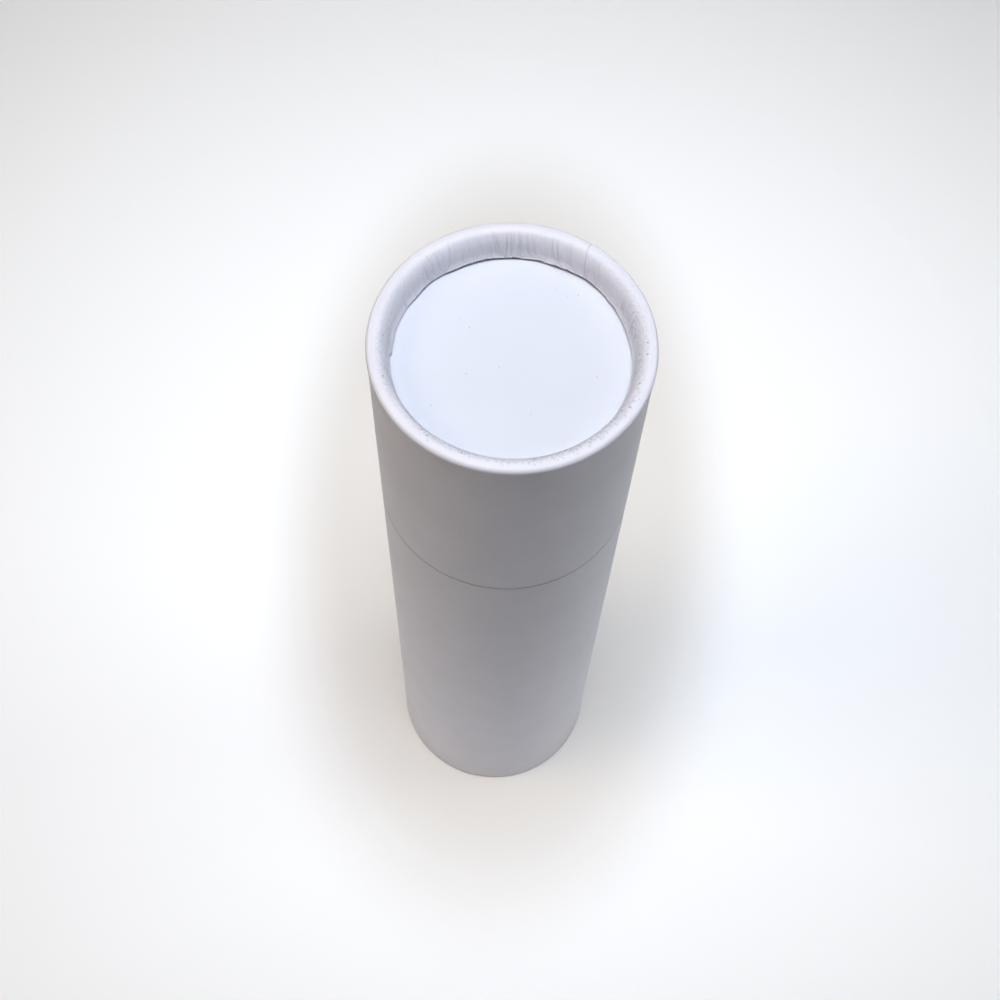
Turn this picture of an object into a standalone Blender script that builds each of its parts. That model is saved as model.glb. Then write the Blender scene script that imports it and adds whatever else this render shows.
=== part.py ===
"""Fire blanket in a paper tube: a flush telescoping cap on a wound board tube, a folded and rolled
glass cloth blanket inside, and two webbing loops that pull it out. Metres, +Z up, standing on z = 0."""

import bmesh
import bpy
from math import cos, pi, radians, sin, sqrt, tau

# Driving dimensions, all in metres unless a name says otherwise.
OUTER_DIAMETER = 0.080
BODY_HEIGHT = 0.222
CAP_HEIGHT = 0.081
SEAM_GAP = 0.0003            # between the cap's mouth and the body's rim

WRAP_THICKNESS = 0.00025     # white paper round the cap and the body
GLUE_GAP = 0.0003            # between pieces that are glued or rest on each other
BOARD_THICKNESS = 0.0015     # wound board of the cap and the body
NECK_WALL = 0.0012
NECK_CLEARANCE = 0.00035     # radial, between the neck and the bores that hold it
NECK_STAND = 0.045           # how far the neck stands up into the cap

ROLL_WIDTH = 0.0057          # of the rolled rim and foot, from the wall to the tuck
ROLL_OUTER_RADIUS = 0.0016   # corner from the wall to the crest
ROLL_INNER_WIDTH = 0.0028    # of the rounded corner from the crest to the tuck
ROLL_INNER_DROP = 0.0050     # how far that corner comes down
LEAST_RADIUS = 0.00025       # smallest corner inside a layer's bend
TUCK_LEAN = 0.0006           # how far the tucked edge leans in below the roll
RECESS_DEPTH = 0.0099        # from the crest of the roll down to the end disc

END_DISC_THICKNESS = 0.0010
BACKING_DISC_THICKNESS = 0.0012
DISC_CLEARANCE = 0.0003

BLANKET_CLEARANCE = 0.0024   # radial, between the roll and the neck
BLANKET_STACK = 0.0026       # thickness of the folded cloth, one turn of the roll
HEM_THREAD = 0.0008
HEM_INSET = 0.009            # from the cloth's free edge to its line of thread
HEM_MARGIN = 0.005           # thread stops this far short of the roll's ends

TAPE_WIDTH = 0.020
TAPE_THICKNESS = 0.0026      # webbing folded double
TAPE_LENGTH = 0.033          # from its fold line to its end
TAPE_CORNER = 0.005          # radius of the corners at a tape's end
TAPE_SPLIT = 0.003           # between the two tapes, lying side by side
TAPE_LIFT = 0.0006           # between the roll's end and the tape
TAPE_HEADROOM = 0.0044       # from the end of a raised tape up to the cap
TAPE_SIDE_ROOM = 0.0010      # radial, from the corner of a raised tape to the neck
THREAD = 0.0007
STITCH_BOX = 0.011           # side of the sewn square that closes a loop
STITCH_INSET = 0.0035        # from the fold line to the sewn square

SEGMENTS = 72                # round the tube
CORNER_STEPS = 4             # round each corner of a rolled edge or of a tape

# Sizes that follow from them.
OUTER_RADIUS = OUTER_DIAMETER / 2
TOTAL_HEIGHT = BODY_HEIGHT + CAP_HEIGHT
BOARD_INSET = WRAP_THICKNESS + GLUE_GAP
BOARD_INNER = OUTER_RADIUS - BOARD_INSET - BOARD_THICKNESS
NECK_OUTER = BOARD_INNER - NECK_CLEARANCE
NECK_INNER = NECK_OUTER - NECK_WALL
DISC_RADIUS = BOARD_INNER - DISC_CLEARANCE
END_DISC_TOP = TOTAL_HEIGHT - RECESS_DEPTH
BACKING_DISC_TOP = END_DISC_TOP - END_DISC_THICKNESS - GLUE_GAP
BASE_DISC_BOTTOM = RECESS_DEPTH
BASE_BACKING_BOTTOM = BASE_DISC_BOTTOM + END_DISC_THICKNESS + GLUE_GAP
FLOOR = BASE_BACKING_BOTTOM + BACKING_DISC_THICKNESS
ROLL_BOTTOM = FLOOR + GLUE_GAP
HEADSPACE = TAPE_LIFT + TAPE_LENGTH + TAPE_HEADROOM
ROLL_TOP = BACKING_DISC_TOP - BACKING_DISC_THICKNESS - HEADSPACE
BLANKET_LENGTH = ROLL_TOP - ROLL_BOTTOM
BLANKET_RADIUS = NECK_INNER - BLANKET_CLEARANCE
TAPE_OUTER_EDGE = TAPE_SPLIT / 2 + TAPE_WIDTH
TAPE_ROOT = sqrt((NECK_INNER - TAPE_SIDE_ROOM) ** 2 - TAPE_OUTER_EDGE ** 2) - TAPE_THICKNESS

# Colours, as linear red, green and blue.
WHITE_PAPER = (0.86, 0.86, 0.90)
WHITE_BOARD = (0.84, 0.86, 0.92)
GREY_BOARD = (0.42, 0.38, 0.33)
GLASS_CLOTH = (0.80, 0.80, 0.77)
BLACK_WEBBING = (0.02, 0.02, 0.022)
WHITE_THREAD = (0.85, 0.84, 0.80)


def clear_scene():
    for thing in list(bpy.data.objects):
        bpy.data.objects.remove(thing, do_unlink=True)


def make_material(name, colour, roughness):
    material = bpy.data.materials.new(name)
    material.use_nodes = True
    shader = material.node_tree.nodes["Principled BSDF"]
    shader.inputs["Base Color"].default_value = (*colour, 1)
    shader.inputs["Roughness"].default_value = roughness
    shader.inputs["Metallic"].default_value = 0
    material.diffuse_color = (*colour, 1)
    return material


def add_object(name, mesh, parent, colour, roughness):
    thing = bpy.data.objects.new(name, mesh)
    bpy.context.scene.collection.objects.link(thing)
    mesh.materials.append(make_material(name, colour, roughness))
    thing.parent = parent
    return thing


def add_empty(name, parent=None, location=(0, 0, 0)):
    empty = bpy.data.objects.new(name, None)
    bpy.context.scene.collection.objects.link(empty)
    empty.parent = parent
    empty.location = location
    return empty


def mesh_of(name, shape):
    mesh = bpy.data.meshes.new(name)
    shape.to_mesh(mesh)
    shape.free()
    mesh.shade_smooth()
    mesh.set_sharp_from_angle(angle=radians(35))
    return mesh


def turned(name, outline, parent, colour, roughness):
    """A closed outline of (radius, height) points, turned round the Z axis."""
    shape = bmesh.new()
    corners = [shape.verts.new((radius, 0, height)) for radius, height in outline]
    edges = [shape.edges.new((a, b)) for a, b in zip(corners, corners[1:] + corners[:1])]
    bmesh.ops.spin(
        shape, geom=corners + edges, cent=(0, 0, 0), axis=(0, 0, 1),
        angle=tau, steps=SEGMENTS, use_merge=True, use_duplicate=False,
    )
    bmesh.ops.recalc_face_normals(shape, faces=shape.faces)
    return add_object(name, mesh_of(name, shape), parent, colour, roughness)


def disc(name, bottom, thickness, parent, colour, roughness):
    shape = bmesh.new()
    bmesh.ops.create_cone(
        shape, cap_ends=True, segments=SEGMENTS,
        radius1=DISC_RADIUS, radius2=DISC_RADIUS, depth=thickness,
    )
    bmesh.ops.translate(shape, verts=shape.verts, vec=(0, 0, bottom + thickness / 2))
    return add_object(name, mesh_of(name, shape), parent, colour, roughness)


def rolled_face(inset):
    """One face of a rolled edge, as (radius, depth below the crest) from the wall to the tuck.

    inset is how far the face lies inside the tube's outside.
    """
    outer = max(ROLL_OUTER_RADIUS - inset, LEAST_RADIUS)
    inner = max(ROLL_INNER_WIDTH - inset, LEAST_RADIUS)
    drop = max(ROLL_INNER_DROP - inset, LEAST_RADIUS)
    wall = OUTER_RADIUS - inset
    root = OUTER_RADIUS - ROLL_WIDTH + inset
    face = []
    for step in range(CORNER_STEPS + 1):
        angle = pi / 2 * step / CORNER_STEPS
        face.append((wall - outer * (1 - cos(angle)), inset + outer * (1 - sin(angle))))
    for step in range(CORNER_STEPS + 1):
        angle = pi / 2 * step / CORNER_STEPS
        face.append((root + inner * (1 - sin(angle)), inset + drop * (1 - cos(angle))))
    return face + [(root - TUCK_LEAN, RECESS_DEPTH - GLUE_GAP)]


def tube_layer(name, inset, thickness, wall_end, crest, parent, colour, roughness):
    """A wound layer from wall_end to a rolled edge whose crest is at the height crest."""
    way = 1 if crest > wall_end else -1
    outline = [(OUTER_RADIUS - inset, wall_end)]
    for radius, depth in rolled_face(inset) + rolled_face(inset + thickness)[::-1]:
        outline.append((radius, crest - way * depth))
    outline.append((OUTER_RADIUS - inset - thickness, wall_end))
    return turned(name, outline, parent, colour, roughness)


def build_tube(parent):
    tube_layer("body_wrap", 0, WRAP_THICKNESS, BODY_HEIGHT, 0, parent, WHITE_PAPER, 0.55)
    tube_layer(
        "body_sleeve", BOARD_INSET, BOARD_THICKNESS, BODY_HEIGHT, 0, parent, GREY_BOARD, 0.85
    )
    disc("base_end_disc", BASE_DISC_BOTTOM, END_DISC_THICKNESS, parent, WHITE_BOARD, 0.5)
    disc(
        "base_backing_disc", BASE_BACKING_BOTTOM, BACKING_DISC_THICKNESS,
        parent, GREY_BOARD, 0.85,
    )
    neck_bottom = FLOOR + GLUE_GAP
    neck_top = BODY_HEIGHT + NECK_STAND
    neck = [
        (NECK_OUTER, neck_bottom), (NECK_OUTER, neck_top),
        (NECK_INNER, neck_top), (NECK_INNER, neck_bottom),
    ]
    turned("neck_sleeve", neck, parent, WHITE_PAPER, 0.6)


def build_cap(parent):
    mouth = BODY_HEIGHT + SEAM_GAP
    tube_layer("cap_wrap", 0, WRAP_THICKNESS, mouth, TOTAL_HEIGHT, parent, WHITE_PAPER, 0.55)
    tube_layer(
        "cap_sleeve", BOARD_INSET, BOARD_THICKNESS, mouth, TOTAL_HEIGHT, parent, GREY_BOARD, 0.85
    )
    disc(
        "cap_end_disc", END_DISC_TOP - END_DISC_THICKNESS, END_DISC_THICKNESS,
        parent, WHITE_BOARD, 0.5,
    )
    disc(
        "cap_backing_disc", BACKING_DISC_TOP - BACKING_DISC_THICKNESS, BACKING_DISC_THICKNESS,
        parent, GREY_BOARD, 0.85,
    )


def spiral_radius(turn):
    """Radius of the last turn of the roll, from its step (turn 0) round to its free edge (turn 1)."""
    return BLANKET_RADIUS - BLANKET_STACK * (1 - turn)


def build_blanket(parent):
    """The roll's outside is one turn of a spiral, so the cloth's free edge makes a step."""
    shape = bmesh.new()
    ring = []
    for step in range(SEGMENTS + 1):
        turn = step / SEGMENTS
        angle = tau * turn
        radius = spiral_radius(turn)
        ring.append(shape.verts.new((radius * cos(angle), radius * sin(angle), ROLL_BOTTOM)))
    base = shape.faces.new(ring)
    lifted = bmesh.ops.extrude_face_region(shape, geom=[base])["geom"]
    moved = [part for part in lifted if isinstance(part, bmesh.types.BMVert)]
    bmesh.ops.translate(shape, verts=moved, vec=(0, 0, BLANKET_LENGTH))
    bmesh.ops.recalc_face_normals(shape, faces=shape.faces)
    add_object("blanket_roll", mesh_of("blanket_roll", shape), parent, GLASS_CLOTH, 0.8)
    build_hem_stitching(parent)


def build_hem_stitching(parent):
    """One line of thread up the hem, on the roll's outside beside the free edge."""
    angle = -HEM_INSET / BLANKET_RADIUS
    radius = spiral_radius(1 + angle / tau) + GLUE_GAP + HEM_THREAD / 2
    line = bpy.data.curves.new("hem_stitching", "CURVE")
    line.dimensions = "3D"
    spline = line.splines.new("POLY")
    spline.points.add(1)
    ends = (ROLL_BOTTOM + HEM_MARGIN, ROLL_TOP - HEM_MARGIN)
    for point, height in zip(spline.points, ends):
        point.co = (radius * cos(angle), radius * sin(angle), height, 1)
    line.bevel_depth = HEM_THREAD / 2
    line.bevel_resolution = 2
    line.use_fill_caps = True
    add_object("hem_stitching", line, parent, WHITE_THREAD, 0.7)


def build_tape(name, side, parent):
    """A loop of webbing, lying folded over the roll's end with its fold line on the hinge axis.

    side is -1 for the left tape and 1 for the right one, and each points across the roll.
    """
    shape = bmesh.new()
    near = TAPE_SPLIT / 2
    far = near + TAPE_WIDTH
    outline = [(0, near), (0, far)]
    for step in range(CORNER_STEPS + 1):
        angle = pi / 2 * step / CORNER_STEPS
        outline.append((
            TAPE_LENGTH - TAPE_CORNER * (1 - sin(angle)),
            far - TAPE_CORNER * (1 - cos(angle)),
        ))
    for step in range(CORNER_STEPS + 1):
        angle = pi / 2 * step / CORNER_STEPS
        outline.append((
            TAPE_LENGTH - TAPE_CORNER * (1 - cos(angle)),
            near + TAPE_CORNER * (1 - sin(angle)),
        ))
    corners = [shape.verts.new((-side * x, side * y, 0)) for x, y in outline]
    base = shape.faces.new(corners)
    lifted = bmesh.ops.extrude_face_region(shape, geom=[base])["geom"]
    moved = [part for part in lifted if isinstance(part, bmesh.types.BMVert)]
    bmesh.ops.translate(shape, verts=moved, vec=(0, 0, TAPE_THICKNESS))
    bmesh.ops.recalc_face_normals(shape, faces=shape.faces)
    hinge = (side * TAPE_ROOT, 0, ROLL_TOP + TAPE_LIFT)
    pivot = add_empty(f"pull_tape_{name}_fold", parent, hinge)
    node = f"pull_tape_{name}"
    add_object(node, mesh_of(node, shape), pivot, BLACK_WEBBING, 0.7)
    build_tape_stitching(f"tape_stitching_{name}", side, pivot)


def bar(start, end, width, height, bottom):
    """A straight run of thread, as a small closed box from start to end."""
    shape = bmesh.new()
    along = ((end[0] - start[0]), (end[1] - start[1]))
    length = sqrt(along[0] ** 2 + along[1] ** 2)
    unit = (along[0] / length, along[1] / length)
    corners = []
    for far, wide in ((-1, -1), (1, -1), (1, 1), (-1, 1)):
        middle = end if far > 0 else start
        x = middle[0] + unit[0] * far * width / 2 - unit[1] * wide * width / 2
        y = middle[1] + unit[1] * far * width / 2 + unit[0] * wide * width / 2
        corners.append(shape.verts.new((x, y, bottom)))
    base = shape.faces.new(corners)
    lifted = bmesh.ops.extrude_face_region(shape, geom=[base])["geom"]
    moved = [part for part in lifted if isinstance(part, bmesh.types.BMVert)]
    bmesh.ops.translate(shape, verts=moved, vec=(0, 0, height))
    bmesh.ops.recalc_face_normals(shape, faces=shape.faces)
    mesh = bpy.data.meshes.new("thread run")
    shape.to_mesh(mesh)
    shape.free()
    return mesh


def build_tape_stitching(name, side, parent):
    """A sewn square with a cross in it, on top of the tape near its fold line."""
    middle_y = side * (TAPE_SPLIT + TAPE_WIDTH) / 2
    near = -side * STITCH_INSET
    far = -side * (STITCH_INSET + STITCH_BOX)
    low = middle_y - STITCH_BOX / 2
    high = middle_y + STITCH_BOX / 2
    bottom = TAPE_THICKNESS + GLUE_GAP
    runs = (
        ((near, low), (far, low)), ((near, high), (far, high)),
        ((near, low), (near, high)), ((far, low), (far, high)),
        ((near, low), (far, high)), ((near, high), (far, low)),
    )
    meshes = [bar(start, end, THREAD, THREAD, bottom) for start, end in runs]
    stitching = add_object(name, meshes[0], parent, WHITE_THREAD, 0.7)
    for number, mesh in enumerate(meshes[1:]):
        run = bpy.data.objects.new(f"{name}_run_{number}", mesh)
        bpy.context.scene.collection.objects.link(run)
        run.parent = parent
        run.hide_render = True
        run.display_type = "WIRE"
        union = stitching.modifiers.new(f"run {number}", "BOOLEAN")
        union.operation = "UNION"
        union.solver = "EXACT"
        union.object = run


def main():
    clear_scene()
    tube = add_empty("tube")
    build_tube(tube)
    blanket = add_empty("blanket", tube)
    build_blanket(blanket)
    for name, side in (("left", -1), ("right", 1)):
        build_tape(name, side, blanket)
    cap = add_empty("cap", blanket)
    build_cap(cap)


main()
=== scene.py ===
"""A fire blanket in a plain paper tube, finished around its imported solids: rolled and creased paper
rims, board walls, the folded and wound glass cloth, its webbing pull tapes and their thread."""

import random
from math import atan2, ceil, cos, hypot, pi, radians, sin, sqrt, tau

import bpy
import numpy as np
from bpy.props import FloatProperty, FloatVectorProperty, IntProperty, PointerProperty
from mathutils import Matrix, Vector, noise


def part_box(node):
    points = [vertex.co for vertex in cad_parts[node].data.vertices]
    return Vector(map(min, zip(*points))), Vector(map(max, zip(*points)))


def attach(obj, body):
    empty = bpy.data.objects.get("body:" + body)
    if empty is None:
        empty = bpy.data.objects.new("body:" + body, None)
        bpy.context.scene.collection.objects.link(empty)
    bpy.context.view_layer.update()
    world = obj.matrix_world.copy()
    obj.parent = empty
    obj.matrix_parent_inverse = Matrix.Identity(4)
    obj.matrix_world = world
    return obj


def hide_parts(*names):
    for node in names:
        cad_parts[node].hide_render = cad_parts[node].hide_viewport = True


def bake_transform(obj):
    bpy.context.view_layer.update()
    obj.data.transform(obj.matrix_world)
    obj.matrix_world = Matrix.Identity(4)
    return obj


bl_info = {
    "name": "Fire Blanket Tube",
    "version": (1, 0, 0),
    "blender": (4, 5, 0),
    "location": "View3D > Sidebar > Blanket Tube",
    "description": "Makes the paper tube, its cap and the rolled fire blanket around their solids",
    "category": "Object",
}

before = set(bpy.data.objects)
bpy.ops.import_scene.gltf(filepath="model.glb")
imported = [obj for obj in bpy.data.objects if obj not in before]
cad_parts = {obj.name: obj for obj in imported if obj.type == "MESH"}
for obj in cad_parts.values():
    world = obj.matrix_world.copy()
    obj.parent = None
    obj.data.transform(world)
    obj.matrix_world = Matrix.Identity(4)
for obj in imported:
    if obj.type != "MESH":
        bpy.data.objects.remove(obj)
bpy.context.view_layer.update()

CAP_LOW, CAP_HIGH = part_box("cap_wrap")
BODY_LOW, BODY_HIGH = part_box("body_wrap")
NECK_LOW, NECK_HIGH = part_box("neck_sleeve")
ROLL_LOW, ROLL_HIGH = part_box("blanket_roll")
TAPE_LOW, TAPE_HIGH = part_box("pull_tape_right")
STITCH_LOW, STITCH_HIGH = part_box("tape_stitching_right")
HEM_LOW, HEM_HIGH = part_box("hem_stitching")

OUTER_RADIUS = CAP_HIGH.x
BOARD_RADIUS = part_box("body_sleeve")[1].x
BLANKET_RADIUS = ROLL_HIGH.x

# Heights of the mouth, the crest and the end disc's face.
CAP_END = (CAP_LOW.z, CAP_HIGH.z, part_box("cap_end_disc")[1].z)
BODY_END = (BODY_HIGH.z, BODY_LOW.z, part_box("base_end_disc")[0].z)


# Settings ---------------------------------------------------------------------------------------

def length(default, description):
    return FloatProperty(
        default=default, description=description, unit="LENGTH", subtype="DISTANCE"
    )


def angle(degrees, description):
    return FloatProperty(
        default=radians(degrees), description=description, subtype="ANGLE"
    )


def count(default, description):
    return IntProperty(default=default, min=1, description=description)


def colour(default, description):
    return FloatVectorProperty(
        default=default, min=0, max=1, description=description, subtype="COLOR"
    )


class TubeSettings(bpy.types.PropertyGroup):
    """Sizes of the paper tube and its cap."""

    roll_width: length(0.0057, "Width of the rolled edge, from the wall to the tuck")
    bulge: length(0.00025, "How far the rolled edge stands out past the wall")
    bulge_reach: length(0.0045, "How far down the wall the bulge starts")
    outer_corner: length(0.0016, "Radius from the wall to the crest")
    inner_width: length(0.0028, "Width of the rounding from the crest to the tuck")
    inner_drop: length(0.0070, "How far that rounding comes down")
    least_corner: length(0.00025, "Smallest radius inside a layer's bend")
    crown: length(0.00008, "How far the crest is rounded up between its corners")
    tuck_lean: length(0.0006, "How far the tucked edge leans in below the roll")
    lip_gap: length(0.0003, "From the tucked edge to the end disc")
    paper: length(0.00025, "Thickness of the white wrap")
    board: length(0.0015, "Thickness of the wound board")
    board_round: length(0.00025, "Radius on the board's cut edges")
    columns: count(1440, "Steps round a wrap")
    board_columns: count(256, "Steps round a board piece")
    outer_steps: count(8, "Steps round the outer corner")
    inner_steps: count(11, "Steps round the inner corner")
    tuck_steps: count(9, "Steps down the tucked edge")
    creases: count(300, "Creases in each rolled edge")
    crease_depth: length(0.00017, "Depth of the deepest creases")
    lip_wobble: length(0.00042, "How far the lip strays from a circle")
    lip_kinks: count(36, "Corners in the lip's outline")
    nicks: count(70, "Short cuts in the front of each rolled edge")
    # The mouth's darkened band is the paper's grey cut core, and painted shade of the seam's gap.
    mouth_edge: length(0.0003, "Width of the worn edge at a wrap's mouth")
    mouth_relief: length(0.0002, "How far the body's wrap stops short of its board")
    lap_step: length(0.00012, "Height of the step where the wrap overlaps itself")
    lap_width: length(0.014, "Width of the overlap")
    cap_lap: angle(58, "Where the cap's wrap overlaps")
    body_lap: angle(112, "Where the body's wrap overlaps")
    lap_slant: angle(5.5, "How far the lap turns on its way down the tuck")


class BlanketSettings(bpy.types.PropertyGroup):
    """Sizes of the cloth, the tapes and their thread."""

    cloth_side: length(1.2, "Side of the square blanket, laid flat")
    cloth: length(0.00036, "Thickness of the glass cloth")
    panels: count(5, "Layers that the cloth is folded into before it is rolled")
    stack: length(0.0026, "Thickness of the folded cloth, one turn of the roll")
    stations: count(46, "Steps in each turn of the roll")
    end_wander: length(0.0022, "How unevenly the folds end")
    slack: length(0.0007, "How far the outer turns stand away from a true spiral")
    webbing: length(0.00122, "Thickness of one layer of webbing")
    rib: length(0.0011, "Distance between the webbing's ribs")
    tape_root: length(0.006, "How far the tapes reach down into the roll")
    thread: length(0.0006, "Diameter of the thread")
    stitch: length(0.0024, "Length of one stitch")


class FinishSettings(bpy.types.PropertyGroup):
    """Colours of the materials."""

    wrap: colour((0.747, 0.736, 0.797), "White paper round the tube")
    disc: colour((0.665, 0.685, 0.75), "White lining of the end discs")
    # Mostly painted shade: laid on creases, nicks, the mouth's edge, the lip's contact line and the
    # band past the crest.
    crease: colour((0.24, 0.23, 0.25), "Where the paper is folded and rubbed")
    speck: colour((0.16, 0.14, 0.13), "Fibres and grit in the paper")
    board: colour((0.36, 0.31, 0.25), "Recycled board")
    board_fleck: colour((0.56, 0.51, 0.44), "Lighter fibres in the board")
    neck: colour((0.74, 0.73, 0.70), "White lining of the neck")
    cloth: colour((0.74, 0.73, 0.68), "Glass fibre yarn")
    webbing: colour((0.016, 0.016, 0.018), "Woven pull tapes")
    thread: colour((0.72, 0.71, 0.66), "Sewing thread")
    floor: colour((0.875, 0.838, 0.79), "Pale surface round the tube")
    # Painted light and shade on the floor: a whiter glowing ring, and a dimmer grey far off.
    floor_lit_edge: colour((0.98, 0.98, 0.98), "The same surface further out")
    floor_far_shade: colour((0.52, 0.52, 0.53), "The surface in the distance")


class StageSettings(bpy.types.PropertyGroup):
    """Camera, floor and light."""

    camera_back: length(0.21277, "How far the camera stands in front of the axis")
    camera_height: length(0.64519, "Height of the camera above the floor")
    camera_pitch: angle(64.323, "How far the camera looks down")
    camera_yaw: angle(0.355, "How far the camera turns to its left")
    camera_roll: angle(2.704, "How far the camera leans")
    camera_lens: FloatProperty(default=52.92, description="Focal length in mm")
    floor_side: length(12.0, "Side of the floor")
    # The pool, the whiter glowing ring round it and the dim distance are painted light and shade.
    pool_width: length(0.095, "Half the width of the tinted floor round the tube")
    pool_depth: length(0.18, "Half the depth of the tinted floor round the tube")
    pool_back: length(0.10, "How far behind the tube the tinted floor is centred")
    sweep_radius: length(0.37, "Radius of the white floor")
    sweep_back: length(0.17, "How far behind the tube the white floor is centred")
    floor_glow: FloatProperty(default=0.10, description="Its own light")


def settings():
    scene = bpy.context.scene
    return scene.tube_sizes, scene.blanket_sizes, scene.finish_colours, scene.stage_sizes


# Mesh tools -------------------------------------------------------------------------------------

def deselect_all():
    if bpy.context.object and bpy.context.object.mode != "OBJECT":
        bpy.ops.object.mode_set(mode="OBJECT")
    bpy.ops.object.select_all(action="DESELECT")


def pick(thing):
    deselect_all()
    thing.select_set(True)
    bpy.context.view_layer.objects.active = thing


def turned(name, outline, columns, closed=True):
    """A piece turned round the Z axis from its outline of (radius, height) points.

    One vertex is pulled along the outline, and a Screw modifier turns the line round the axis.
    Points on the axis close a pole.
    """
    deselect_all()
    bpy.ops.mesh.primitive_plane_add(size=0.001, enter_editmode=True)
    bpy.ops.mesh.merge(type="CENTER")
    bpy.ops.transform.translate(value=(outline[0][0], 0, outline[0][1]))
    path = outline + outline[:1] if closed else outline
    for (radius, height), (next_radius, next_height) in zip(path, path[1:]):
        step = (next_radius - radius, 0, next_height - height)
        bpy.ops.mesh.extrude_region_move(TRANSFORM_OT_translate={"value": step})
    bpy.ops.mesh.select_all(action="SELECT")
    bpy.ops.mesh.remove_doubles(threshold=1e-6)
    bpy.ops.object.mode_set(mode="OBJECT")
    bpy.ops.object.modifier_add(type="SCREW")
    piece = bpy.context.object
    piece.name = piece.data.name = name
    turning = piece.modifiers[-1]
    turning.angle = tau
    turning.steps = turning.render_steps = columns
    turning.use_merge_vertices = True
    turning.merge_threshold = 2e-6
    bpy.ops.object.modifier_apply(modifier=turning.name)
    bpy.ops.object.mode_set(mode="EDIT")
    bpy.ops.mesh.select_all(action="SELECT")
    bpy.ops.mesh.remove_doubles(threshold=2e-6)
    bpy.ops.mesh.normals_make_consistent(inside=False)
    bpy.ops.object.mode_set(mode="OBJECT")
    return piece


def from_faces(name, points, faces):
    mesh = bpy.data.meshes.new(name)
    mesh.from_pydata(points, [], faces)
    mesh.update()
    piece = bpy.data.objects.new(name, mesh)
    bpy.context.scene.collection.objects.link(piece)
    pick(piece)
    return piece


def smooth(piece, degrees=35):
    pick(piece)
    bpy.ops.object.shade_smooth_by_angle(angle=radians(degrees))


def coordinates(piece):
    flat = np.empty(len(piece.data.vertices) * 3)
    piece.data.vertices.foreach_get("co", flat)
    return flat.reshape(-1, 3)


def place_vertices(piece, points):
    piece.data.vertices.foreach_set("co", np.ascontiguousarray(points).ravel())
    piece.data.update()


def point_attribute(piece, name, values):
    layer = piece.data.attributes.new(name, "FLOAT", "POINT")
    layer.data.foreach_set("value", np.asarray(values, dtype=np.float32))


def finish(piece, material, slot, body, *nodes):
    piece.data.materials.clear()
    piece.data.materials.append(material)
    if nodes:
        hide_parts(*nodes)
    if body:
        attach(piece, body)


def smoothstep(value):
    value = np.clip(value, 0, 1)
    return value * value * (3 - 2 * value)


def arc(centre_radius, centre_height, radius, start, end, steps):
    """Points on an arc, as (radius, height), from one angle to another, in degrees."""
    points = []
    for step in range(steps + 1):
        turn = radians(start + (end - start) * step / steps)
        points.append((centre_radius + radius * cos(turn), centre_height + radius * sin(turn)))
    return points


# Materials --------------------------------------------------------------------------------------

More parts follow.
